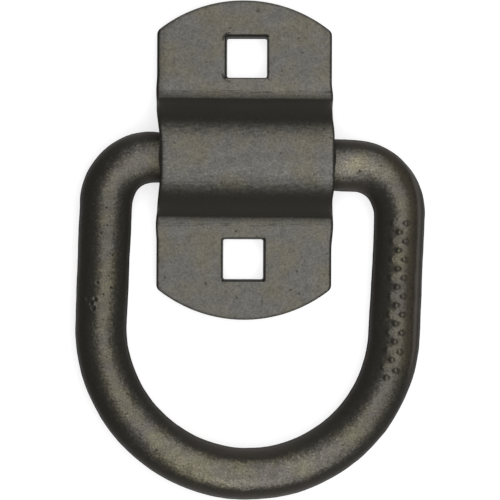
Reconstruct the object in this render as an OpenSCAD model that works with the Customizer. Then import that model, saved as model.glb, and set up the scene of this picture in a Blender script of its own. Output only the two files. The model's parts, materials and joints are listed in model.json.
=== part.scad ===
// Forged D-ring held down by a bolt-on strap bracket.
// The bracket's two feet lie on the mounting surface, z = 0, and the origin is midway between
// their bolt holes. The ring's straight bar lies under the saddle in the middle of the strap,
// and the ring swings over from one foot to the other. It is drawn lying round the -Y foot.

/* [Ring] */
// Diameter of the ring's round bar
bar_d = 12.7; // [10:0.1:15]
// Clear height inside the ring, from its straight bar to the middle of its bow
ring_clear_h = 66.4; // [60:0.1:90]
// Inner radius of the two corners at the ends of the straight bar
ring_corner_r = 5.4; // [4:0.1:12]
// Straight bar that stands out on each side of the strap before a corner begins
side_play = 3.2; // [1:0.1:10]
// Width of the trimmed flash along the parting line
flash_w = 1.6; // [1:0.1:3]
// Height of the flash above the round bar
flash_h = 0.18; // [0.1:0.02:0.4]

/* [Bracket] */
// Width of the strap
strap_w = 44.4; // [36:0.1:60]
// Length of the strap over its two arched ends
strap_l = 80.8; // [72:0.1:110]
// Thickness of the strap
strap_t = 6; // [4:0.1:8]
// Radius of the arched ends
end_r = 35; // [32:0.5:60]
// Radius where an arched end meets the strap's side
shoulder_r = 1.8; // [0.6:0.1:4]
// Gap all round between the round bar and the saddle
saddle_clearance = 1.85; // [1.2:0.05:2.4]
// Slope of the saddle's side walls, from the feet
wall_angle = 70; // [58:1:74]
// Radius on top of the strap where a side wall bends out into its foot
foot_bend_r = 3; // [2:0.1:4.5]

/* [Bolt holes] */
// Width of the square holes for the necks of carriage bolts
hole_w = 10.7; // [8:0.1:12]
// Distance between the centres of the two holes
hole_spacing = 50.8; // [49:0.1:60]
// Radius in the corners of the holes
hole_corner_r = 0.8; // [0.3:0.1:2]

/* [Lie of the loose ring] */
// Turn of the ring in the saddle, towards the -X side
ring_skew = 2.2; // [0:0.1:2.6]
// Gap left between the -X edge of the strap and the corner of the ring, which has slid to +X
slide_gap = 0.6; // [0.3:0.1:1]
// Gap left between the round bar and the saddle's -Y wall, where the two are nearest
pull_gap = 0.3; // [0.2:0.05:0.8]

/* [Hidden] */
$fn = 96;

// Overrun of a shape past the faces that it cuts or joins
overrun = 1;
// Each wall lies this far inside the arch that it runs off, so that the two cross cleanly.
// The bends into the feet reach as far past the walls, and the shoulders past the strap's sides.
tuck = 0.01;

// The ring's centreline lies in one plane, half a bar above the mounting surface
bar_r = bar_d / 2;
corner_r = ring_corner_r + bar_r;
straight_half = strap_w / 2 + side_play;
leg_x = straight_half + corner_r;
bow_y = leg_x - ring_clear_h - bar_d;

// The saddle is an arch round the bar, with walls that run off it tangent down to the feet.
// The bends into the feet are round an axis above them.
saddle_r = bar_r + saddle_clearance;
bend_z = strap_t + foot_bend_r;
bend_reach = saddle_r + strap_t + foot_bend_r;
bend_y = (bend_reach - (bend_z - bar_r) * cos(wall_angle)) / sin(wall_angle);

// Each arched end is blended into the strap's sides by two shoulders
arch_y = strap_l / 2 - end_r;
shoulder_x = strap_w / 2 - shoulder_r;
shoulder_angle = acos(shoulder_x / (end_r - shoulder_r));
shoulder_y = arch_y + (end_r - shoulder_r) * sin(shoulder_angle);

// The ring lies where its play lets it: slid along the bar, turned, and pulled towards its bow
ring_slide = side_play - slide_gap;
pull_room = (saddle_clearance - pull_gap) / sin(wall_angle);
ring_pull = pull_room - tan(ring_skew) * strap_w / 2;

// Web between a circle of radius r and the corner of its tangents at angles a and b,
// which reaches an overrun past both tangents
module web(r, a, b) {
    reach = r + overrun;
    middle = (a + b) / 2;
    difference() {
        polygon([
            [0, 0],
            reach * [cos(a), sin(a)],
            reach / cos((b - a) / 2) * [cos(middle), sin(middle)],
            reach * [cos(b), sin(b)]
        ]);
        circle(r);
    }
}

// Section of a solid saddle of radius r, whose walls run down past the mounting surface
module saddle(r) {
    wall_r = r - tuck;
    top_y = wall_r * sin(wall_angle);
    top_z = bar_r + wall_r * cos(wall_angle);
    base_y = top_y + (top_z + overrun) / tan(wall_angle);
    translate([0, bar_r]) circle(r);
    polygon([[-base_y, -overrun], [base_y, -overrun], [top_y, top_z], [-top_y, top_z]]);
}

// The two corners between the saddle's walls and the flats of the feet, outside bends of radius r
module bend_webs(r) {
    for (side = [0, 1]) mirror([side, 0])
        translate([bend_y, bend_z])
            web(r + 2 * tuck, 270 - wall_angle, 270);
}

// Section of the strap, of one thickness all along, seen from its side
module strap_section() {
    difference() {
        union() {
            saddle(saddle_r + strap_t);
            bend_webs(foot_bend_r);
            translate([-strap_l / 2, 0]) square([strap_l, strap_t]);
        }
        saddle(saddle_r);
        bend_webs(foot_bend_r + strap_t);
        translate([-strap_l, -strap_l]) square([2 * strap_l, strap_l]);
    }
}

// What is sheared off the strap at one end, to leave the arch and its two round shoulders
module end_waste() {
    difference() {
        translate([-strap_w, 0]) square([2 * strap_w, strap_l]);
        translate([0, arch_y]) circle(end_r);
    }
    for (side = [0, 1]) mirror([side, 0])
        translate([shoulder_x, shoulder_y])
            web(shoulder_r + tuck, 0, shoulder_angle);
}

// Square hole with rounded corners
module hole_outline() {
    flat = hole_w - 2 * hole_corner_r;
    square([hole_w, flat], center = true);
    square([flat, hole_w], center = true);
    for (x = [-1, 1], y = [-1, 1])
        translate([x, y] * flat / 2) circle(hole_corner_r);
}

module mounting_bracket() {
    color("dimgray") difference() {
        rotate([90, 0, 90])
            linear_extrude(strap_w, center = true) strap_section();
        for (end = [0, 180]) rotate(end)
            translate([0, 0, -overrun]) linear_extrude(strap_t + 2 * overrun) {
                end_waste();
                translate([0, hole_spacing / 2]) hole_outline();
            }
    }
}

// Straight length of the bar along Y
module straight_bar(length) {
    rotate([-90, 0, 0]) cylinder(h = length, r = bar_r);
}

// Bend of the bar round Z, of centreline radius r, starting on the X axis
module bent_bar(r, angle) {
    rotate_extrude(angle = angle) translate([r, 0]) circle(bar_r);
}

// The round bar forged into a closed D, with its legs towards -Y
module d_bar() {
    translate([straight_half, 0, 0]) rotate(90) straight_bar(2 * straight_half);
    for (side = [0, 1]) mirror([side, 0, 0]) {
        translate([straight_half, -corner_r, 0]) bent_bar(corner_r, 90);
        translate([leg_x, bow_y, 0]) straight_bar(-corner_r - bow_y);
    }
    translate([0, bow_y, 0]) rotate(180) bent_bar(leg_x, 180);
}

// The D seen from above, grown outward from the bar's centreline
module d_outline(growth) {
    for (side = [-1, 1])
        translate([side * straight_half, -corner_r]) circle(corner_r + growth);
    translate([-straight_half, -corner_r])
        square([2 * straight_half, corner_r + growth]);
    translate([-leg_x - growth, bow_y])
        square([2 * (leg_x + growth), -corner_r - bow_y]);
    translate([0, bow_y]) circle(leg_x + growth);
}

// Trimmed flash, which runs round the inside and the outside of the ring
module flash() {
    linear_extrude(flash_w, center = true) difference() {
        d_outline(bar_r + flash_h);
        d_outline(-bar_r - flash_h);
    }
}

module d_ring() {
    color("dimgray")
        translate([0, -ring_pull, bar_r]) rotate(-ring_skew) translate([ring_slide, 0, 0]) {
            d_bar();
            flash();
        }
}

mounting_bracket();
d_ring();
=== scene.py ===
import json
import math
import random

import bpy
import numpy as np
from mathutils import Euler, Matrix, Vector, noise
from mathutils.geometry import delaunay_2d_cdt


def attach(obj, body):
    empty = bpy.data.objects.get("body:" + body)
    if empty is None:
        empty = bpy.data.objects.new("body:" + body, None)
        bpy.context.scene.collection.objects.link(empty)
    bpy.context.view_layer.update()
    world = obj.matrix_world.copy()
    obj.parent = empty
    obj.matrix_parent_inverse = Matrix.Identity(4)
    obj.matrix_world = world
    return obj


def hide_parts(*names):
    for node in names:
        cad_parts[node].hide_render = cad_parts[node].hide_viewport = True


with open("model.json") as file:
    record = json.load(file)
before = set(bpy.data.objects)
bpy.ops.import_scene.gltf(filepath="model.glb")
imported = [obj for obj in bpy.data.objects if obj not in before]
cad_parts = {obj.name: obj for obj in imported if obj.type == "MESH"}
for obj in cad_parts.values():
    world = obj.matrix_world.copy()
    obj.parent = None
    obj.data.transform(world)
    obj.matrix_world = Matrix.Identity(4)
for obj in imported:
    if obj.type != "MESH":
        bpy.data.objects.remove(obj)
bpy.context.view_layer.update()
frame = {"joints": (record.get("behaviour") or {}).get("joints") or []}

# Sizes are in millimetres and angles in degrees, and each mesh is turned into metres as it is made
MM = 0.001

# Ring, as forged
BAR_D = 12.7
RING_CLEAR_H = 66.4
RING_CORNER_R = 5.4
SIDE_PLAY = 3.2
FLASH_W = 1.6
FLASH_H = 0.18
FLASH_BLEND = 1.12

# Strap of the bracket, as cut and bent
STRAP_W = 44.4
STRAP_L = 80.8
STRAP_T = 6.0
END_R = 35.0
SHOULDER_R = 1.8
SADDLE_CLEARANCE = 1.85
WALL_ANGLE = 70.0
FOOT_BEND_R = 3.0
HOLE_W = 10.7
HOLE_SPACING = 50.8
HOLE_CORNER_R = 0.8

# How far the loose ring lies slid along its pivot towards +X
RING_SLIDE = 2.6

# Worked out from the sizes above, as the solids are
BAR_R = BAR_D / 2
RING_BEND_R = RING_CORNER_R + BAR_R
STRAIGHT_HALF = STRAP_W / 2 + SIDE_PLAY
LEG_X = STRAIGHT_HALF + RING_BEND_R
BOW_Y = LEG_X - RING_CLEAR_H - BAR_D
CROWN_R = BAR_R + SADDLE_CLEARANCE + STRAP_T / 2
FOOT_R = FOOT_BEND_R + STRAP_T / 2
BEND_Z = STRAP_T + FOOT_BEND_R

# Points round the ring's bar, and steps between points along it, along its marked legs, over the
# strap and over the strap's underside. Triangles fill the strap's faces, finer near the holes.
BAR_SIDES = 128
BAR_STEP = 0.43
MARKED_STEP = 0.25
STRAP_STEP = 0.42
UNDERSIDE_STEP = 0.9
FINE_REACH = 2.4
SAME_POINT = 1e-6

# Where the pressed strap departs from its drawing: the ends, the holes, the crown and the edges
UPPER_END_DRIFT = -0.35
UPPER_END_TILT = -0.30
LOWER_END_DRIFT = -0.63
UPPER_HOLE_DRIFT = (0.64, 0.2)
LOWER_HOLE_DRIFT = (-0.20, -0.25)
HOLE_SQUEEZE = (0.12, 0.0)
HOLE_TAPER = 0.30
# The next two set the band of painted shade along the holes' rims and how far it is shifted
HOLE_RIM_SHADE = (0.12, 0.34)
RIM_SHADE_DRIFT = ((-0.10, 0.16), (0.18, -0.12))
CRESCENT_R = 1.62
CRESCENT_W = 0.55
CRESCENT_DEPTH = 0.15
CRESCENT_DARK = 0.8
CROWN_LIP = 0.5
BEND_TURN = 0.35
EDGE_SAG = 0.55
EDGE_SAG_W = 2.8
OTHER_EDGE_SAG = 0.20
TOP_EDGE_R = 0.75
HOLE_EDGE_R = 0.42
UNDER_EDGE_R = 0.4
EDGE_SEGMENTS = 5
SIDE_RINGS = 6

# How far the bent strap's crown lies towards +X at its -X and at its +X side. Then, for each side and
# there for its -Y and its +Y half: the Y between which that fades out, and the bulge beside the foot
# bend as its height, its Y and its width.
CROWN_SHIFT = (1.25, 0.39)
CROWN_EASE = (((3.5, 17.0), (2.5, 14.5)), ((7.0, 11.5), (5.5, 10.5)))
BEND_BULGE = (((0.20, 17.0, 9.0), (0.20, 17.0, 9.0)), ((0.45, 17.0, 13.0), (0.33, 15.5, 7.5)))

# Relief of the forging, in layers of a height, a size of features and a seed: the ring's, the
# strap's, and the wander of the lines that the die left on the strap. Each step of the seed shifts
# the noise by a seed step along X, Y and Z.
SEED_STEP = (1.0, 2.7, 5.3)
RING_RELIEF = ((0.13, 9.0, 3), (0.045, 2.6, 11), (0.022, 1.3, 13))
STRAP_RELIEF = ((0.10, 9.0, 17), (0.02, 2.6, 23))
DIE_WANDER = ((0.25, 7.0, 29),)

# Where the dies left the ring thin or full, as heights with their places and lengths along Y. Those
# of the bow grow between two depths below the pivot.
LEG_THIN = 0.35
LEG_THIN_Y = -23.0
LEG_THIN_L = 32.0
LEG_SWELL = 0.12
LEG_SWELL_Y = -16.0
LEG_SWELL_L = 40.0
CORNER_FILL = 0.15
CORNER_FILL_Y = -8.0
CORNER_FILL_L = 12.0
BOW_SKEW = 0.16
BOW_SKEW_DEPTHS = (48.0, 62.0)
BOW_SKEW_SIDE = 30.0
BOW_SKEW_SHARES = (-1.0, 0.4)
BOW_DROP = 0.09
BOW_DROP_W = 44.0
BOW_SWELL = 0.12
BOW_SWELL_DEPTHS = (35.0, 60.0)
BOW_SWELL_SIDE = 20.0

# Where the flash is dressed off the pivot, and the pits and the scar of the -X leg
DRESSED_X = -3.0
DRESSED_HALF = 19.0
DRESSED_FADE = 6.0
PIT_SEED = 41
PIT_COUNT = 34
PIT_RANGE = (-52.0, -8.0)
PIT_LEAN = 52.0
PIT_SIZES = (0.30, 0.55)
PIT_DEPTH = 0.40
PIT_RIM = 0.35
PIT_DARK = (0.03, 0.12)
SCAR_COUNT = 6
SCAR_Y = -37.5
SCAR_LEAN = -24.0
SCAR_SPREAD = 1.3
SCAR_SIZE = 0.8

# Lines of the die beside the strap's foot bends
DIE_LINE_GAP = -0.9
DIE_LINE_W = 0.9
DIE_LINE_DEPTH = 0.08
DIE_MARK_W = 2.6

# Row of raised pips along one leg of the ring: alternately one on the crest and two beside it. Each
# falls off between two distances from its middle.
PIP_EDGE = (0.30, 0.93)
PIP_H = 0.42
PIP_PITCH = 2.3
PIP_SPREAD = 1.6
PIP_ROWS = 18
PIP_START_Y = -53.0

# Slopes at which worn metal with its painted highlight gives way to dark scale, which there stands as
# painted shade, leaning along X and along Y, and the powers of that falloff. The painted highlight
# leans a little towards +X, where the light comes from. Steep slopes that face along Y get painted
# light. The feet and the ends of their bends are bright all over, worn by rubbing and carrying the
# painted highlight, apart from their steep sides.
HIGHLIGHT_LEAN = 8.0
BOW_HIGHLIGHT_LEAN = 4.0
WEAR_AND_HIGHLIGHT_SLOPE_X = 20.5
WEAR_AND_HIGHLIGHT_SLOPE_Y = 33.5
PIVOT_SLOPE_Y = 40.0
STRAP_SLOPE_Y = (37.5, 35.0)
WEAR_AND_HIGHLIGHT_POWERS = (2, 6)
FLANK_POWER = 4
FLANK_FACING = (0.05, 0.3)
RUBBED_AND_LIT_RANGE = (-6.4, -3.6)
SIDE_FACING = (0.25, 0.6)

# Painted highlight bands beside the strap's crown and foot bends, and the band of the crown with
# painted glints
CROWN_HIGHLIGHT = 0.13
CROWN_HIGHLIGHT_PLACE = 3.8
CROWN_HIGHLIGHT_W = 10.0
FOOT_HIGHLIGHT = (0.05, 0.14)
FOOT_HIGHLIGHT_PLACE = 0.8
FOOT_HIGHLIGHT_W = 8.0
CROWN_GLINT_PLACE = -3.2
CROWN_GLINT_W = 8.0

# Share of the polished metal and painted highlight on the bow and the pivot, and the rest as painted
# light beside the strap's +X edge, lifting the shade that edge casts on the ring. The bow has a painted
# highlight in a streak towards -Y, most of all in its middle, where the rest of it is painted darker.
CROSS_POLISH_AND_HIGHLIGHT = 0.38
STREAK_HIGHLIGHT = 0.6
STREAK_FACING = (0.05, 0.4)
LOW_STREAK = 1.8
LOW_DIM = 0.4
LOW_W = 36.0
EDGE_LIGHT_PLACE = (24.6, 0.5)
EDGE_LIGHT_W = 26.0

# Slope and spread of the brown film outside the +X leg, and of the painted light on the pale rim
# outside that
FILM_LEAN = 30.0
FILM_W = 38.0
RIM_LEAN = 53.0
RIM_W = 26.0

# View from straight above, and the softbox between the camera and the part
VIEW_CENTRE = (1.56, -23.3)
VIEW_W = 126.7
VIEW_Z = BAR_R
VIEW_DISTANCE = 780.0
VIEW_ROLL = 0.2
SENSOR_W = 36.0
CLIP_START = 10.0
CLIP_END = 10000.0
LAMP_CENTRE = (60.0, -60.0, 420.0)
LAMP_SIZE = (420.0, 880.0)
LAMP_WATTS = 3.6
SHADE_LEVEL = 0.08
FLOOR_COLOUR = 0.45
FLOOR_GLOW = 0.66
FLOOR_R = 2500.0
FLOOR_SIDES = 96
FLOOR_DROP = 0.02
FLOOR_FADE_START = 140.0
FLOOR_FADE_END = 260.0


def smooth(value, low, high):
    """0 below low, 1 above high, and a smooth step between them."""
    share = np.clip((value - low) / (high - low), 0, 1)
    return share * share * (3 - 2 * share)


def hill(distance, width):
    """Round hill of height 1 at distance 0 that is level again at half its width."""
    return 1 - smooth(np.abs(distance), 0, width / 2)


def relief(points, layers):
    """Smooth random relief at each point, from layers of a height, a size of features and a seed."""
    total = np.zeros(len(points))
    for height, size, seed in layers:
        shift = seed * Vector(SEED_STEP)
        total += [height * noise.noise(Vector(point) / size + shift) for point in points]
    return total


def arc_run(centre, radius, start, end, step):
    """Points along an arc, without its last, and their outward normals."""
    count = max(2, round(abs(math.radians(end - start)) * radius / step))
    angles = np.radians(np.linspace(start, end, count, endpoint=False))
    normals = np.column_stack([np.cos(angles), np.sin(angles)])
    return np.array(centre) + radius * normals, normals


def straight_run(start, end, facing, step):
    """Points along a straight line, without its last, with normals that face one way."""
    count = max(1, round(math.dist(start, end) / step))
    share = np.linspace(0, 1, count, endpoint=False)[:, None]
    points = np.array(start) * (1 - share) + np.array(end) * share
    normal = (math.cos(math.radians(facing)), math.sin(math.radians(facing)))
    return points, np.tile(normal, (count, 1))


def join_runs(runs):
    """One closed line from runs that follow each other, as points and normals."""
    return np.vstack([points for points, _ in runs]), np.vstack([normals for _, normals in runs])


def make_piece(name, points, faces, material):
    """Smooth mesh object from points in millimetres."""
    mesh = bpy.data.meshes.new(name)
    mesh.from_pydata((points * MM).tolist(), [], faces)
    mesh.validate()
    mesh.shade_smooth()
    mesh.materials.append(material)
    piece = bpy.data.objects.new(name, mesh)
    bpy.context.scene.collection.objects.link(piece)
    return piece


def mark_wear_and_highlight(mesh, lean, slope_y, worn):
    """Stores wear and painted highlight, 0 as painted shade on steep slopes, and painted light on
    Y-facing ones.
    """
    normal_x, normal_y, normal_z = point_normals(mesh).T
    power_x, power_y = WEAR_AND_HIGHLIGHT_POWERS
    lean_x = (normal_x - np.sin(np.radians(lean))) / math.sin(math.radians(WEAR_AND_HIGHLIGHT_SLOPE_X))
    lean_y = normal_y / np.sin(np.radians(slope_y))
    mark_points(mesh, "wear_and_highlight", worn * np.exp(-lean_x ** power_x - lean_y ** power_y))
    # Painted light on steep slopes that face along Y
    mark_points(mesh, "lit_flank", worn * normal_y ** FLANK_POWER * smooth(normal_z, *FLANK_FACING))


def point_normals(mesh):
    """Normals of a mesh's points, one row each."""
    normals = np.empty(len(mesh.vertices) * 3)
    mesh.vertices.foreach_get("normal", normals)
    return normals.reshape(-1, 3)


def mark_points(mesh, name, values):
    """Stores one number for each point of a mesh, for the material to read."""
    attribute = mesh.attributes.new(name, "FLOAT", "POINT")
    attribute.data.foreach_set("value", np.asarray(values, np.float32))


# Ring


def ring_line():
    """Centreline of the D, its legs towards -Y, round from the foot of the +X leg."""
    pip_end = math.degrees(math.asin((PIP_START_Y - BOW_Y) / LEG_X))
    return join_runs([
        straight_run((LEG_X, BOW_Y), (LEG_X, -RING_BEND_R), 0, MARKED_STEP),
        arc_run((STRAIGHT_HALF, -RING_BEND_R), RING_BEND_R, 0, 90, BAR_STEP),
        straight_run((STRAIGHT_HALF, 0), (-STRAIGHT_HALF, 0), 90, BAR_STEP),
        arc_run((-STRAIGHT_HALF, -RING_BEND_R), RING_BEND_R, 90, 180, BAR_STEP),
        straight_run((-LEG_X, -RING_BEND_R), (-LEG_X, BOW_Y), 180, MARKED_STEP),
        arc_run((0, BOW_Y), LEG_X, 180, 360 + pip_end, BAR_STEP),
        arc_run((0, BOW_Y), LEG_X, 360 + pip_end, 360, MARKED_STEP),
    ])


def flash_height(line, sides):
    """Trimmed flash inside and outside the bar. It is dressed off on the pivot, under the saddle."""
    across = BAR_R * np.abs(np.arcsin(np.sin(sides)))
    height = FLASH_H * (1 - smooth(across, FLASH_W / 4, FLASH_BLEND))
    from_middle = np.abs(line[:, 0] - DRESSED_X)
    dressed = 1 - smooth(from_middle, DRESSED_HALF, DRESSED_HALF + DRESSED_FADE)
    dressed *= line[:, 1] > -BAR_R
    return height[None, :] * (1 - dressed[:, None])


def uneven_side(line, sides):
    """How the dies left the +X leg thin inside, and the -X leg, the corners and the bow full."""
    x, y = line.T
    thin = LEG_THIN * (x > STRAIGHT_HALF) * np.sqrt(hill(y - LEG_THIN_Y, LEG_THIN_L))
    full = LEG_SWELL * (x < -STRAIGHT_HALF) * hill(y - LEG_SWELL_Y, LEG_SWELL_L)
    corner = CORNER_FILL * (np.abs(x) > STRAIGHT_HALF) * hill(y - CORNER_FILL_Y, CORNER_FILL_L)
    bow = BOW_SWELL * smooth(-y, *BOW_SWELL_DEPTHS) * smooth(x, 0, BOW_SWELL_SIDE)
    low = smooth(-y, *BOW_SKEW_DEPTHS)
    skew = BOW_SKEW * low * np.clip(x / BOW_SKEW_SIDE, *BOW_SKEW_SHARES)
    drop = BOW_DROP * low * hill(x, BOW_DROP_W)
    inner, outer = np.clip(-np.cos(sides), 0, 1), np.clip(np.cos(sides), 0, 1)
    outward = bow + full + drop
    inward = full + corner - thin - skew
    return outward[:, None] * outer + inward[:, None] * inner


def pip_height(line, normals, sides):
    """Raised pips on the crest of the +X leg, at each point of the ring."""
    x, y = line.T
    along = np.where(y < BOW_Y, LEG_X * np.arctan2(BOW_Y - y, x), BOW_Y - y)
    start = LEG_X * math.asin((BOW_Y - PIP_START_Y) / LEG_X)
    place = start - along
    row = np.clip(np.round(place / PIP_PITCH), 0, PIP_ROWS - 1)
    offset = (place - row * PIP_PITCH)[:, None]
    across = (BAR_R * (sides - math.pi / 2))[None, :]
    paired = (row % 2 == 1)[:, None]
    aside = np.where(paired, np.abs(across) - PIP_SPREAD, across)
    height = PIP_H * (1 - smooth(np.hypot(offset, aside), *PIP_EDGE))
    on_leg = (normals[:, 0] > 0) & (x > STRAIGHT_HALF) & (y < -RING_BEND_R / 2)
    return np.where(on_leg[:, None], height, 0)


def forge_bar(line, normals):
    """Points of the forged bar round its line, ring by ring, and how clear of pits each of them is."""
    sides = np.arange(BAR_SIDES) * math.tau / BAR_SIDES
    outward = np.repeat(normals, BAR_SIDES, axis=0) * np.tile(np.cos(sides), len(line))[:, None]
    facing = np.column_stack([outward, np.tile(np.sin(sides), len(line))])
    centres = np.column_stack([np.repeat(line, BAR_SIDES, axis=0), np.zeros(len(line) * BAR_SIDES)])
    drawn = centres + BAR_R * facing
    pits = pit_depth(drawn)
    reach = BAR_R + relief(drawn, RING_RELIEF) - pits
    for part in (flash_height(line, sides), uneven_side(line, sides), pip_height(line, normals, sides)):
        reach += part.ravel()
    points = centres + reach[:, None] * facing
    points[:, 2] = np.maximum(points[:, 2], -BAR_R)
    return points, 1 - smooth(pits, *PIT_DARK)


def pit_places():
    """Places and sizes of the pits that scale left in the -X leg, the last ones in one scar."""
    draw = random.Random(PIT_SEED)
    spots = []
    for _ in range(PIT_COUNT):
        lean = math.radians(draw.uniform(-PIT_LEAN, PIT_LEAN))
        spots.append((lean, draw.uniform(*PIT_RANGE), draw.uniform(*PIT_SIZES)))
    for _ in range(SCAR_COUNT):
        lean = math.radians(SCAR_LEAN) + draw.uniform(-1, 1) * SCAR_SPREAD / BAR_R
        spots.append((lean, SCAR_Y + draw.uniform(-1, 1) * SCAR_SPREAD, SCAR_SIZE))
    leans, along, sizes = np.array(spots).T
    places = np.column_stack([BAR_R * np.sin(leans) - LEG_X, along, BAR_R * np.cos(leans)])
    return zip(places, sizes)


def pit_depth(points):
    """How deep each point of the ring lies in a pit, below 0 on the raised rim round it."""
    depth = np.zeros(len(points))
    for place, size in pit_places():
        distance = np.linalg.norm(points - place, axis=1)
        depth += PIT_DEPTH * size * (hill(distance, 2 * size) - PIT_RIM * hill(distance - size, size))
    return depth


def grid_faces(rows, columns):
    """Quads of a grid of points that closes on itself both ways."""
    row, column = np.meshgrid(np.arange(rows), np.arange(columns), indexing="ij")
    next_row, next_column = (row + 1) % rows, (column + 1) % columns
    corners = [row * columns + column, next_row * columns + column,
               next_row * columns + next_column, row * columns + next_column]
    return np.stack(corners, axis=-1).reshape(-1, 4).tolist()


def mark_ring(mesh, points, cross, worn):
    """Stores the ring's wear and polishing with painted highlights and glints. Cross is 1 where its bar
    runs along X, 0 along Y.
    """
    bow = cross * (points[:, 1] < BOW_Y)
    lean = HIGHLIGHT_LEAN + (BOW_HIGHLIGHT_LEAN - HIGHLIGHT_LEAN) * bow
    slope = WEAR_AND_HIGHLIGHT_SLOPE_Y + (PIVOT_SLOPE_Y - WEAR_AND_HIGHLIGHT_SLOPE_Y) * (cross - bow)
    mark_wear_and_highlight(mesh, lean, slope, worn)
    # Painted glints on the bow
    mark_points(mesh, "glint", bow)
    streak = smooth(-point_normals(mesh)[:, 1], *STREAK_FACING)
    # Painted highlight streak on the bow's -Y side, and painted shade on the rest of its middle
    low = hill(points[:, 0], LOW_W) * (LOW_STREAK * streak - LOW_DIM)
    bright = cross + bow * (STREAK_HIGHLIGHT * streak + low)
    # Painted light beside the strap's +X edge, which lifts the shade that edge casts on the ring
    edge_light = hill(np.linalg.norm(points[:, :2] - EDGE_LIGHT_PLACE, axis=1), EDGE_LIGHT_W)
    mark_points(mesh, "polish_and_highlight", CROSS_POLISH_AND_HIGHLIGHT * bright + (1 - CROSS_POLISH_AND_HIGHLIGHT) * edge_light)


def mark_film(mesh, points):
    """Stores where the +X leg has its brown film, and its pale rim of painted light."""
    lean = np.degrees(np.arcsin(np.clip(point_normals(mesh)[:, 0], -1, 1)))
    on_leg = smooth(points[:, 0], STRAIGHT_HALF, LEG_X) * smooth(points[:, 1], BOW_Y - LEG_X / 2, BOW_Y)
    mark_points(mesh, "film", on_leg * hill(lean - FILM_LEAN, FILM_W))
    # Painted light on the outer flank of the +X leg
    mark_points(mesh, "rim", on_leg * hill(lean - RIM_LEAN, RIM_W))


def make_ring(material):
    """The forged ring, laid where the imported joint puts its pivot."""
    joint = frame["joints"][0]
    pivot = np.array(joint["pos_m"]) / MM
    up = np.array([0, 0, 1])
    along = -np.array(joint["axis"])
    across = np.cross(up, along)
    line, normals = ring_line()
    points, worn = forge_bar(line, normals)
    points[:, 0] += RING_SLIDE
    laid = pivot + points @ np.array([along, across, up])
    piece = make_piece("forged_ring", laid, grid_faces(len(line), BAR_SIDES), material)
    mark_ring(piece.data, points, np.repeat(normals[:, 1] ** 2, BAR_SIDES), worn)
    mark_film(piece.data, points)
    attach(piece, joint["child"])
    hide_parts("d_ring")


# Bracket


def strap_lengths():
    """Length of the strap's middle layer to the end of its crown, of a wall and of a foot bend."""
    turn = math.radians(WALL_ANGLE)
    crown = CROWN_R * turn
    wall_drop = BAR_R + CROWN_R * math.cos(turn) - (BEND_Z - FOOT_R * math.cos(turn))
    wall = crown + wall_drop / math.sin(turn)
    return crown, wall, wall + FOOT_R * turn


def bend_strap(points):
    """Bends the flat blank, points as X, length along the strap and height above its middle layer."""
    across, along, height = points.T
    crown_end, wall_end, foot_start = strap_lengths()
    skew = across * math.tan(math.radians(BEND_TURN))
    side = np.sign(along + skew)
    length = np.abs(along + skew)
    wall = math.radians(WALL_ANGLE)
    crown_turn = np.minimum(length, crown_end) / CROWN_R
    wall_part = np.clip(length - crown_end, 0, wall_end - crown_end)
    foot_turn = np.clip(length - wall_end, 0, foot_start - wall_end) / FOOT_R
    foot_part = np.maximum(length - foot_start, 0)
    y = CROWN_R * np.sin(crown_turn) + wall_part * math.cos(wall) + foot_part
    y += FOOT_R * (math.sin(wall) - np.sin(wall - foot_turn))
    z = BAR_R + CROWN_R * np.cos(crown_turn) - wall_part * math.sin(wall)
    z -= FOOT_R * (np.cos(wall - foot_turn) - math.cos(wall))
    tilt = crown_turn - foot_turn
    y += height * np.sin(tilt)
    z += height * np.cos(tilt)
    return np.column_stack([across, side * y - skew, z])


def side_shift(y, side):
    """How far towards +X the crown lies on one side, and how far that side bulges, at each Y."""
    shift, swell = np.zeros(len(y)), np.zeros(len(y))
    for half, ease, bulge in zip((y < 0, y >= 0), CROWN_EASE[side], BEND_BULGE[side]):
        height, place, width = bulge
        shift += half * CROWN_SHIFT[side] * (1 - smooth(np.abs(y), *ease))
        swell += half * height * hill(np.abs(y) - place, width)
    return shift, swell


def press_strap(points, along, height):
    """Moves the bent strap's sides: the crown shifts, and its inside and the foot bends bulge."""
    x, y, z = points.T
    share = np.clip(x / STRAP_W + 0.5, 0, 1)
    (left, left_swell), (right, right_swell) = side_shift(y, 0), side_shift(y, 1)
    lip = CROWN_LIP * hill(along, strap_lengths()[0]) * smooth(-height, -STRAP_T / 4, STRAP_T / 2)
    outward = np.sign(x) * smooth(np.abs(x), STRAP_W / 4, STRAP_W / 2)
    swell = outward * (np.where(x < 0, left_swell, right_swell) + lip)
    return np.column_stack([x + left * (1 - share) + right * share + swell, y, z])


def foot_growth():
    """How much further out a foot lies on the flat blank than on the bent strap."""
    bend_y = CROWN_R * math.sin(math.radians(WALL_ANGLE))
    crown_end, wall_end, foot_start = strap_lengths()
    bend_y += (wall_end - crown_end) * math.cos(math.radians(WALL_ANGLE))
    bend_y += FOOT_R * math.sin(math.radians(WALL_ANGLE))
    return foot_start - bend_y


def arch_centre():
    """How far the centre of an arched end lies from the middle of the flat blank."""
    return STRAP_L / 2 - END_R + foot_growth()


def end_drift(across, along):
    """How far along the strap its sheared ends lie from where they are drawn."""
    upper = UPPER_END_DRIFT + across * math.tan(math.radians(UPPER_END_TILT))
    return np.where(along > 0, upper, LOWER_END_DRIFT)


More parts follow.
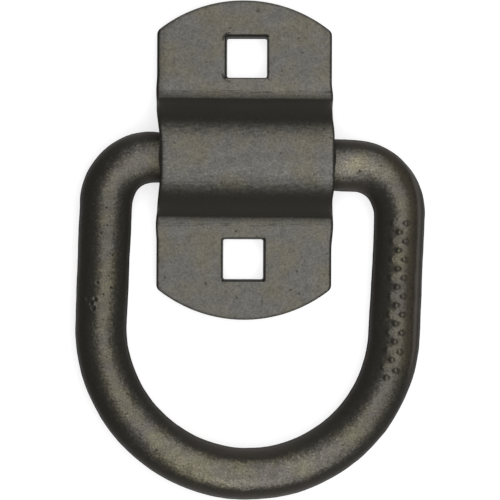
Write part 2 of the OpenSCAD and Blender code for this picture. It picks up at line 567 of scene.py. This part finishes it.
def blank_outline():
    """Outline of the flat blank: two straight sides, two arched ends and four round shoulders."""
    shoulder_x = STRAP_W / 2 - SHOULDER_R
    turn = math.degrees(math.acos(shoulder_x / (END_R - SHOULDER_R)))
    arch = arch_centre()
    shoulder_y = arch + (END_R - SHOULDER_R) * math.sin(math.radians(turn))
    half = STRAP_W / 2
    step = STRAP_STEP
    points, normals = join_runs([
        straight_run((half, -shoulder_y), (half, shoulder_y), 0, step),
        arc_run((shoulder_x, shoulder_y), SHOULDER_R, 0, turn, step),
        arc_run((0, arch), END_R, turn, 180 - turn, step),
        arc_run((-shoulder_x, shoulder_y), SHOULDER_R, 180 - turn, 180, step),
        straight_run((-half, shoulder_y), (-half, -shoulder_y), 180, step),
        arc_run((-shoulder_x, -shoulder_y), SHOULDER_R, 180, 180 + turn, step),
        arc_run((0, -arch), END_R, 180 + turn, 360 - turn, step),
        arc_run((shoulder_x, -shoulder_y), SHOULDER_R, 360 - turn, 360, step),
    ])
    return points + np.column_stack([np.zeros(len(points)), end_drift(*points.T)]), normals


def hole_centres():
    """Centres of the two punched holes on the flat blank."""
    along = HOLE_SPACING / 2 + foot_growth()
    upper_x, upper_along = UPPER_HOLE_DRIFT
    lower_x, lower_along = LOWER_HOLE_DRIFT
    return [(upper_x, along + upper_along), (lower_x, lower_along - along)]


def hole_outline(centre, squeeze):
    """Outline of a square hole with round corners, its normals towards the hole's middle."""
    half = HOLE_W / 2
    flat = half - HOLE_CORNER_R
    runs = []
    for quarter in range(4):
        facing = 90 * quarter
        turn = math.radians(facing)
        out = np.array([math.cos(turn), math.sin(turn)])
        up = np.array([-math.sin(turn), math.cos(turn)])
        start, end = half * out - flat * up, half * out + flat * up
        runs.append(straight_run(start, end, facing, STRAP_STEP / 2))
        runs.append(arc_run(flat * (out + up), HOLE_CORNER_R, facing, facing + 90, STRAP_STEP / 2))
    points, normals = join_runs(runs)
    points[:, 1] *= 1 - squeeze / half
    return (points + np.array(centre))[::-1], -normals[::-1]


def edge_profile(top_radius):
    """Inset and height of each ring of points down an edge, from the top face to the underside."""
    turns = np.radians(np.linspace(0, 90, EDGE_SEGMENTS))
    insets, drops = 1 - np.sin(turns), 1 - np.cos(turns)
    high, low = STRAP_T / 2, -STRAP_T / 2
    top = np.column_stack([top_radius * insets, high - top_radius * drops])
    under = np.column_stack([UNDER_EDGE_R * insets, low + UNDER_EDGE_R * drops])[::-1]
    side = np.linspace(top[-1], under[0], SIDE_RINGS)[1:-1]
    return np.vstack([top, side, under])


def edge_rings(points, normals, top_radius, taper):
    """Rings of points down an edge, from the top face to the underside, leaning out by the taper."""
    rings = []
    for inset, height in edge_profile(top_radius):
        lean = taper * (STRAP_T / 2 - height) / STRAP_T
        rings.append(np.column_stack([points + normals * (lean - inset), np.full(len(points), height)]))
    return rings


def inside_blank(points, margin):
    """True for points of the blank at least a margin, one for each point, from every edge."""
    arch = arch_centre()
    x, along = points.T
    reach = np.abs(x) - STRAP_W / 2
    for side in (1, -1):
        end = np.hypot(x, along - end_drift(x, along) - side * arch) - END_R
        reach = np.maximum(reach, np.where(side * along > arch, end, -END_R))
    kept = reach < -margin
    for hole_x, hole_y in hole_centres():
        kept &= np.maximum(np.abs(x - hole_x), np.abs(along - hole_y)) > HOLE_W / 2 + margin
    return kept


def even_grid(step):
    """Points of an even triangular grid over the whole blank."""
    rows = np.arange(-STRAP_L, STRAP_L, step * math.sqrt(3) / 2)
    columns = np.arange(-STRAP_W / 2, STRAP_W / 2, step)
    x, along = np.meshgrid(columns, rows)
    x = x + (np.arange(len(rows)) % 2)[:, None] * step / 2
    return np.column_stack([x.ravel(), along.ravel()])


def blank_face(loops, step, margin, hole_margin):
    """Fills a face of the blank, between its outline and its holes, with triangles."""
    grids = []
    for spacing, gap, near in ((step, margin, False), (step / 2, hole_margin, True)):
        grid = even_grid(spacing)
        kept = inside_blank(grid, gap + spacing / 2) & ((hole_distance(grid) < FINE_REACH) == near)
        grids.append(grid[kept])
    fill = np.vstack(grids)
    points = np.vstack([*loops, fill])
    on_hole = np.zeros(len(points), bool)
    on_hole[len(loops[0]):len(points) - len(fill)] = True
    edges, start = [], 0
    for loop in loops:
        ids = np.arange(start, start + len(loop))
        edges += np.column_stack([ids, np.roll(ids, -1)]).tolist()
        start += len(loop)
    found = delaunay_2d_cdt([Vector(point) for point in points], edges, [], 0, SAME_POINT, True)
    original = [ids[0] for ids in found[3]]
    triangles = np.array([[original[corner] for corner in face] for face in found[2]])
    return points, triangles[~on_hole[triangles].all(axis=1)]


def stitch(rows):
    """Quads between rings of point numbers that follow each other down an edge."""
    quads = []
    for upper, lower in zip(rows, rows[1:]):
        quads += np.column_stack([upper, lower, np.roll(lower, -1), np.roll(upper, -1)]).tolist()
    return quads


def blank_mesh():
    """The flat blank as points (X, length, height) and faces, closed all round."""
    stacks = [edge_rings(*blank_outline(), TOP_EDGE_R, 0)]
    for centre, squeeze in zip(hole_centres(), HOLE_SQUEEZE):
        stacks.append(edge_rings(*hole_outline(centre, squeeze), HOLE_EDGE_R, HOLE_TAPER))
    top_loops = [stack[0][:, :2] for stack in stacks]
    low_loops = [stack[-1][:, :2] for stack in stacks]
    top, top_faces = blank_face(top_loops, STRAP_STEP, TOP_EDGE_R, HOLE_EDGE_R)
    low, low_faces = blank_face(low_loops, UNDERSIDE_STEP, UNDER_EDGE_R, UNDER_EDGE_R)
    points = [np.column_stack([top, np.full(len(top), STRAP_T / 2)])]
    faces = top_faces.tolist()
    count = len(top)
    first = 0
    low_start = len(top) + sum(len(stack[0]) * (len(stack) - 2) for stack in stacks)
    for stack in stacks:
        size = len(stack[0])
        rows = [np.arange(first, first + size)]
        for ring in stack[1:-1]:
            points.append(ring)
            rows.append(np.arange(count, count + size))
            count += size
        rows.append(np.arange(low_start + first, low_start + first + size))
        faces += stitch(rows)
        first += size
    points.append(np.column_stack([low, np.full(len(low), -STRAP_T / 2)]))
    faces += (low_faces[:, ::-1] + low_start).tolist()
    return np.vstack(points), faces


def roughen_blank(points):
    """Low dents all over the blank, and the lines that the die left beside the foot bends."""
    across, along, height = points.T
    foot_start = strap_lengths()[2]
    wander = relief(points * [1, 0, 0], DIE_WANDER)
    rise = relief(points, STRAP_RELIEF) - edge_sag(across, along) - CRESCENT_DEPTH * crescents(points)
    rise -= DIE_LINE_DEPTH * hill(np.abs(along) - foot_start - DIE_LINE_GAP - wander, DIE_LINE_W)
    moved = points.copy()
    moved[:, 2] += np.where(height > 0, rise, 0)
    return moved


def hole_distance(points, drifts=((0, 0), (0, 0))):
    """How far each point of the blank lies outside the nearer hole, once the holes have drifted."""
    centres = np.add(hole_centres(), drifts)
    gaps = [np.abs(points[:, :2] - centre).max(axis=1) - HOLE_W / 2 for centre in centres]
    return np.minimum(*gaps)


def crescents(points):
    """1 along the crescents round the upper hole's -X corners, and 0 elsewhere."""
    hole_x, hole_y = hole_centres()[0]
    corner_x = hole_x - points[:, 0] - HOLE_W / 2 + HOLE_CORNER_R
    corner_y = np.abs(points[:, 1] - hole_y) - HOLE_W / 2 + HOLE_CORNER_R
    beside = np.minimum(corner_x, corner_y) > -HOLE_CORNER_R / 2
    return beside * hill(np.hypot(corner_x, corner_y) - CRESCENT_R, CRESCENT_W)


def hole_shade_and_crescents(points):
    """1 on the painted shade along the holes' rims and in the darkened crescents beside them, on the
    blank.
    """
    rim = 1 - smooth(hole_distance(points, RIM_SHADE_DRIFT), *HOLE_RIM_SHADE)
    return np.maximum(rim, CRESCENT_DARK * crescents(points))


def edge_sag(across, along):
    """How far the shears drew the top down beside its edges, most at the upper foot's -X edge."""
    arch = arch_centre()
    end_gap = END_R - np.hypot(across, np.maximum(np.abs(along) - arch, 0))
    drawn_down = smooth(along, 0, strap_lengths()[2])
    past_corner = EDGE_SAG_W * smooth(across, -STRAP_W / 2, -STRAP_W / 4)
    gap = np.minimum(STRAP_W / 2 + across, end_gap + past_corner)
    other_gap = np.minimum(STRAP_W / 2 - np.abs(across), end_gap)
    share, other_share = (np.clip(1 - each / EDGE_SAG_W, 0, 1) ** 2 for each in (gap, other_gap))
    return EDGE_SAG * np.maximum(share * drawn_down, other_share * OTHER_EDGE_SAG)


def mark_strap(mesh, blank):
    """Stores the strap's wear with painted highlight and shade, painted highlight bands and glints, and
    where the die has marked it.
    """
    along = blank[:, 1]
    from_foot = np.abs(along) - strap_lengths()[2]
    # The share left clear here is 0 in the painted shade along the holes' rims
    worn = 1 - hole_shade_and_crescents(blank)
    level = 1 - smooth(np.abs(point_normals(mesh)[:, 0]), *SIDE_FACING)
    # Painted highlight bands beside the crown and the foot bends
    bright = CROWN_HIGHLIGHT * hill(np.abs(along) - CROWN_HIGHLIGHT_PLACE, CROWN_HIGHLIGHT_W)
    bright += np.where(along < 0, *FOOT_HIGHLIGHT) * hill(from_foot - FOOT_HIGHLIGHT_PLACE, FOOT_HIGHLIGHT_W)
    mark_wear_and_highlight(mesh, HIGHLIGHT_LEAN, np.where(along < 0, *STRAP_SLOPE_Y), worn)
    # Feet worn bright, with the painted highlight carried over the ends of their bends
    mark_points(mesh, "rubbed_and_lit", worn * level * smooth(from_foot, *RUBBED_AND_LIT_RANGE))
    mark_points(mesh, "die", hill(from_foot - DIE_LINE_GAP, DIE_MARK_W))
    mark_points(mesh, "polish_and_highlight", bright)
    # Painted glints on the crown's -Y band
    mark_points(mesh, "glint", hill(along - CROWN_GLINT_PLACE, CROWN_GLINT_W))


def make_bracket(material):
    """The strap bracket, cut flat, pressed and bent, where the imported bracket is."""
    blank, faces = blank_mesh()
    points = press_strap(bend_strap(roughen_blank(blank)), blank[:, 1], blank[:, 2])
    points[:, 2] = np.maximum(points[:, 2], 0)
    piece = make_piece("strap_bracket", points, faces, material)
    mark_strap(piece.data, blank)
    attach(piece, "bracket")
    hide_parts("mounting_bracket")


# Materials

# The two finishes, with base colours in linear light: worn metal in its warm and cool patches, dark
# scale in the pits, which on steep slopes and round the holes also stands as painted shade, and the
# painted light of steep flanks. A noise field is a size in millimetres, a detail, a roughness and,
# where it is stretched, its scale along X, Y and Z.
RING_FINISH = {
    "seed": 2.16,
    "warm": (0.0875, 0.0805, 0.0580),
    "cool": (0.0725, 0.0675, 0.0595),
    "scale": (0.0213, 0.0194, 0.0164),
    # Colour of the painted light on steep flanks
    "lit_flank": (0.083, 0.074, 0.064),
    "grain": (0.45, 2.0, 0.6),
    "grain_depth": 0.62,
    "mottle_depth": 0.22,
    "ragged": 0.19,
    "flecks": (0.65, 2.0, 0.6),
    "fleck_gain": 1.2,
}
STRAP_FINISH = {
    "seed": 2.47,
    "warm": (0.0900, 0.0838, 0.0675),
    "cool": (0.0848, 0.0812, 0.0750),
    "scale": (0.0170, 0.0160, 0.0136),
    # Colour of the painted light on steep flanks
    "lit_flank": (0.0490, 0.0460, 0.0390),
    "grain": (0.52, 2.0, 0.6),
    "grain_depth": 0.50,
    "mottle_depth": 0.15,
    "ragged": 0.15,
    "flecks": (0.65, 2.0, 0.6, (0.35, 1.0, 1.0)),
    "fleck_gain": 0.9,
}
SPECK_DARK = (0.035, 0.032, 0.027)
FILM_BROWN = (0.044, 0.037, 0.025)
EDGE_TINT = (0.12, 0.12, 0.12)
SPECULAR_LEVEL = 0.03
METAL_SHARE = 0.35
POLISH_AND_HIGHLIGHT_GAIN = 1.3

# Noise fields of both finishes
PATCHES = (9.0, 3.0, 0.55)
MOTTLE = (2.4, 3.0, 0.55)
FLAKES = (0.9, 4.0, 0.7)
SPECKS = (1.3, 1.0, 0.4)
DIE_STREAKS = (0.30, 2.0, 0.5, (0.08, 1.0, 1.0))
# The last field paints glints
GLINTS = (0.5, 1.0, 0.5, (0.6, 1.0, 1.0))

# Values between which a field takes effect, and what it then reaches
NOISE_MIDDLE = (0.25, 0.75)
PATCH_RANGE = (0.34, 0.62)
SPECK_RANGE = (0.28, 0.21)
SPECK_SHARE = 0.85
STREAK_RANGE = (0.47, 0.38)
STREAK_SHARE = 0.9
BORDER_RANGE = (0.10, 0.25)
FLECK_RANGE = (0.42, 0.58)
GLINT_RANGE = (0.58, 0.72)
GLINT_GAIN = 0.5
WEAR_RANGE = (-0.05, 1.0)
FILM_RANGE = (0.38, 0.58)
FILM_SHARES = (0.2, 0.9)
ROUGH_RANGE = (0.30, 0.70)
ROUGHNESS = (0.42, 0.56)
MOTTLE_RELIEF = 1.2
BUMP_STRENGTH = 0.5
BUMP_HEIGHT = 0.06

# A Mix node's inputs and output for colours, which share their names with those for numbers
MIX_COLOURS = (6, 7)
MIX_RESULT = 2


def add_node(tree, kind, inputs, **settings):
    """Adds a shader node. A value that is a socket is linked, and any other is set."""
    node = tree.nodes.new(kind)
    for name, value in settings.items():
        setattr(node, name, value)
    for name, value in inputs.items():
        if isinstance(value, bpy.types.NodeSocket):
            tree.links.new(value, node.inputs[name])
        else:
            node.inputs[name].default_value = value
    return node


def seeded_place(tree, seed):
    """Place on the object, moved by a seed so that no two finishes share their noise."""
    coordinates = tree.nodes.new("ShaderNodeTexCoord")
    moved = add_node(tree, "ShaderNodeMapping", {
        "Vector": coordinates.outputs["Object"], "Location": (seed, 2 * seed, 3 * seed)})
    return moved.outputs["Vector"]


def noise_field(tree, place, size, detail, roughness, stretch=(1.0, 1.0, 1.0)):
    """Procedural noise from 0 to 1 with features of a size in millimetres."""
    scale = [share / (size * MM) for share in stretch]
    mapped = add_node(tree, "ShaderNodeMapping", {"Vector": place, "Scale": scale})
    field = add_node(tree, "ShaderNodeTexNoise", {
        "Vector": mapped.outputs["Vector"], "Scale": 1.0, "Detail": detail, "Roughness": roughness})
    return field.outputs["Fac"]


def remap(tree, value, low, high, to_low=0.0, to_high=1.0):
    """Maps a field from low and high to two other values, smoothly and clamped."""
    node = add_node(tree, "ShaderNodeMapRange", {
        "Value": value, "From Min": low, "From Max": high, "To Min": to_low, "To Max": to_high,
    }, interpolation_type="SMOOTHSTEP")
    return node.outputs["Result"]


def vary(tree, field, middle, depth):
    """Maps the middle of a noise field to a value plus and minus a depth, without a clamp."""
    low, high = NOISE_MIDDLE
    node = add_node(tree, "ShaderNodeMapRange", {
        "Value": field, "From Min": low, "From Max": high,
        "To Min": middle - depth, "To Max": middle + depth,
    }, clamp=False)
    return node.outputs["Result"]


def attribute(tree, name):
    """A number stored on the mesh, or 0 where it has none of that name."""
    return add_node(tree, "ShaderNodeAttribute", {}, attribute_name=name).outputs["Fac"]


def compute(tree, operation, first, second):
    """One arithmetic step on two fields or values."""
    node = tree.nodes.new("ShaderNodeMath")
    node.operation = operation
    for socket, value in zip(node.inputs, (first, second)):
        if isinstance(value, bpy.types.NodeSocket):
            tree.links.new(value, socket)
        else:
            socket.default_value = value
    return node.outputs["Value"]


def blend_colour(tree, share, first, second):
    """Mixes two colours, each a socket or three numbers."""
    node = tree.nodes.new("ShaderNodeMix")
    node.data_type = "RGBA"
    node.clamp_factor = False
    tree.links.new(share, node.inputs["Factor"])
    for index, value in zip(MIX_COLOURS, (first, second)):
        if isinstance(value, bpy.types.NodeSocket):
            tree.links.new(value, node.inputs[index])
        else:
            node.inputs[index].default_value = (*value, 1.0)
    return node.outputs[MIX_RESULT]


def one_plus(tree, first, second):
    """1 and the product of two fields or values."""
    return compute(tree, "ADD", compute(tree, "MULTIPLY", first, second), 1.0)


def worn_colour(tree, place, finish):
    """Worn metal in warm and cool patches, with dark specks and the dark lines of the die."""
    patches = remap(tree, noise_field(tree, place, *PATCHES), *PATCH_RANGE)
    specks = remap(tree, noise_field(tree, place, *SPECKS), *SPECK_RANGE, 0.0, SPECK_SHARE)
    streaks = remap(tree, noise_field(tree, place, *DIE_STREAKS), *STREAK_RANGE, 0.0, STREAK_SHARE)
    lines = compute(tree, "MULTIPLY", attribute(tree, "die"), streaks)
    metal = blend_colour(tree, patches, finish["warm"], finish["cool"])
    metal = blend_colour(tree, specks, metal, SPECK_DARK)
    return blend_colour(tree, lines, metal, SPECK_DARK)


def worn_tone_and_highlight(tree, place, finish, grain, mottle, wear_and_highlight):
    """How bright worn metal is: grain, mottle, polishing with painted highlight, flecks at the
    highlight's border, painted glints.
    """
    border = compute(tree, "MULTIPLY", wear_and_highlight, compute(tree, "SUBTRACT", 1.0, wear_and_highlight))
    border = remap(tree, border, *BORDER_RANGE, 0.0, BORDER_RANGE[1])
    gain = finish["fleck_gain"]
    flecks = remap(tree, noise_field(tree, place, *finish["flecks"]), *FLECK_RANGE, -gain, gain)
    glints = remap(tree, noise_field(tree, place, *GLINTS), *GLINT_RANGE, 0.0, GLINT_GAIN)
    brightness = vary(tree, grain, 1.0, finish["grain_depth"])
    for factor in (
        vary(tree, mottle, 1.0, finish["mottle_depth"]),
        one_plus(tree, attribute(tree, "polish_and_highlight"), POLISH_AND_HIGHLIGHT_GAIN),
        one_plus(tree, border, flecks),
        one_plus(tree, attribute(tree, "glint"), glints),
    ):
        brightness = compute(tree, "MULTIPLY", brightness, factor)
    return brightness


def scale_colour(tree, finish):
    """Dark scale, with painted light on the steep flanks and on the rim of the +X leg."""
    pale = compute(tree, "ADD", attribute(tree, "lit_flank"), attribute(tree, "rim"))
    return blend_colour(tree, pale, finish["scale"], finish["lit_flank"])


def grain_normal(tree, grain, mottle):
    """Fine relief of the grain and the mottle."""
    height = compute(tree, "ADD", grain, compute(tree, "MULTIPLY", mottle, MOTTLE_RELIEF))
    bump = add_node(tree, "ShaderNodeBump", {
        "Height": height, "Strength": BUMP_STRENGTH, "Distance": BUMP_HEIGHT * MM})
    return bump.outputs["Normal"]


def forged_finish(name, finish):
    """Forged steel: worn crests with painted highlight over scale as painted shade, and a brown film on
    the +X leg.
    """
    material = bpy.data.materials.new(name)
    material.use_nodes = True
    tree = material.node_tree
    shader = tree.nodes["Principled BSDF"]
    place = seeded_place(tree, finish["seed"])
    grain = noise_field(tree, place, *finish["grain"])
    mottle = noise_field(tree, place, *MOTTLE)
    flakes = noise_field(tree, place, *FLAKES)
    # Wear with its painted highlight by slope; where it is low, the dark scale shows as painted shade
    wear_and_highlight = compute(tree, "MAXIMUM", attribute(tree, "wear_and_highlight"), attribute(tree, "rubbed_and_lit"))
    ragged_wear_and_highlight = compute(tree, "ADD", wear_and_highlight, vary(tree, flakes, 0.0, finish["ragged"]))
    worn_and_lit_share = remap(tree, ragged_wear_and_highlight, *WEAR_RANGE)
    bright = worn_tone_and_highlight(tree, place, finish, grain, mottle, wear_and_highlight)
    shown = compute(tree, "MULTIPLY", worn_and_lit_share, bright)
    colour = blend_colour(tree, shown, scale_colour(tree, finish), worn_colour(tree, place, finish))
    film = remap(tree, flakes, *FILM_RANGE, *FILM_SHARES)
    film = compute(tree, "MULTIPLY", attribute(tree, "film"), film)
    colour = blend_colour(tree, film, colour, FILM_BROWN)
    metallic = compute(tree, "MULTIPLY", worn_and_lit_share, METAL_SHARE)
    tree.links.new(colour, shader.inputs["Base Color"])
    tree.links.new(metallic, shader.inputs["Metallic"])
    tree.links.new(remap(tree, grain, *ROUGH_RANGE, *ROUGHNESS), shader.inputs["Roughness"])
    tree.links.new(grain_normal(tree, grain, mottle), shader.inputs["Normal"])
    shader.inputs["Specular IOR Level"].default_value = SPECULAR_LEVEL
    shader.inputs["Specular Tint"].default_value = (*EDGE_TINT, 1.0)
    return material


# Stage


def seen_share(tree):
    """1 for what the camera, a reflection or a transparent surface sees, and 0 for bounced light."""
    rays = tree.nodes.new("ShaderNodeLightPath")
    share = compute(tree, "MAXIMUM", rays.outputs["Is Camera Ray"], rays.outputs["Is Glossy Ray"])
    return compute(tree, "MAXIMUM", share, rays.outputs["Is Transmission Ray"])


def floor_finish():
    """White floor that shows the part's soft shadow, and fades into the white backdrop."""
    material = bpy.data.materials.new("floor")
    material.use_nodes = True
    tree = material.node_tree
    tree.nodes.remove(tree.nodes["Principled BSDF"])
    coordinates = tree.nodes.new("ShaderNodeTexCoord")
    from_middle = {0: coordinates.outputs["Object"]}
    distance = add_node(tree, "ShaderNodeVectorMath", from_middle, operation="LENGTH")
    far = remap(tree, distance.outputs["Value"], FLOOR_FADE_START * MM, FLOOR_FADE_END * MM)
    seen = seen_share(tree)
    lit = add_node(tree, "ShaderNodeBsdfDiffuse", {
        "Color": blend_colour(tree, seen, (SHADE_LEVEL,) * 3, (FLOOR_COLOUR,) * 3)})
    strength = compute(tree, "MULTIPLY", seen, FLOOR_GLOW)
    glow = add_node(tree, "ShaderNodeEmission", {"Strength": strength})
    table = add_node(tree, "ShaderNodeAddShader", {0: lit.outputs[0], 1: glow.outputs[0]})
    backdrop = add_node(tree, "ShaderNodeEmission", {
        "Color": blend_colour(tree, seen, (SHADE_LEVEL,) * 3, (1.0,) * 3), "Strength": 1.0})
    shaders = {0: far, 1: table.outputs[0], 2: backdrop.outputs[0]}
    mixed = add_node(tree, "ShaderNodeMixShader", shaders)
    tree.links.new(mixed.outputs[0], tree.nodes["Material Output"].inputs["Surface"])
    return material


def make_floor():
    """Round floor just under the mounting surface."""
    bpy.ops.mesh.primitive_circle_add(vertices=FLOOR_SIDES, radius=FLOOR_R * MM, fill_type="NGON")
    floor = bpy.context.object
    floor.name = "floor"
    floor.location.z = -FLOOR_DROP * MM
    floor.data.materials.append(floor_finish())


def make_world():
    """White to the camera and in reflections, and a faint fill for the rest."""
    world = bpy.data.worlds.new("studio")
    world.use_nodes = True
    bpy.context.scene.world = world
    tree = world.node_tree
    colour = blend_colour(tree, seen_share(tree), (SHADE_LEVEL,) * 3, (1.0,) * 3)
    tree.links.new(colour, tree.nodes["Background"].inputs["Color"])


def make_lamp():
    """Large softbox above the part, towards +X and the bow."""
    light = bpy.data.lights.new("softbox", "AREA")
    light.shape = "RECTANGLE"
    light.size, light.size_y = LAMP_SIZE[0] * MM, LAMP_SIZE[1] * MM
    light.energy = LAMP_WATTS
    lamp = bpy.data.objects.new("softbox", light)
    lamp.location = Vector(LAMP_CENTRE) * MM
    lamp.visible_camera = False
    bpy.context.scene.collection.objects.link(lamp)


def make_camera():
    """Camera that looks straight down, with its field's width at the height of the bar's centre."""
    data = bpy.data.cameras.new("camera")
    data.sensor_width = SENSOR_W
    data.lens = SENSOR_W * VIEW_DISTANCE / VIEW_W
    data.clip_start, data.clip_end = CLIP_START * MM, CLIP_END * MM
    camera = bpy.data.objects.new("camera", data)
    camera.location = Vector((*VIEW_CENTRE, VIEW_Z + VIEW_DISTANCE)) * MM
    camera.rotation_euler = Euler((0, 0, math.radians(VIEW_ROLL)))
    bpy.context.scene.collection.objects.link(camera)
    bpy.context.scene.camera = camera


make_camera()
make_lamp()
make_world()
make_floor()
make_ring(forged_finish("forged_steel", RING_FINISH))
make_bracket(forged_finish("strap_steel", STRAP_FINISH))
bpy.context.scene.view_settings.view_transform = "Standard"
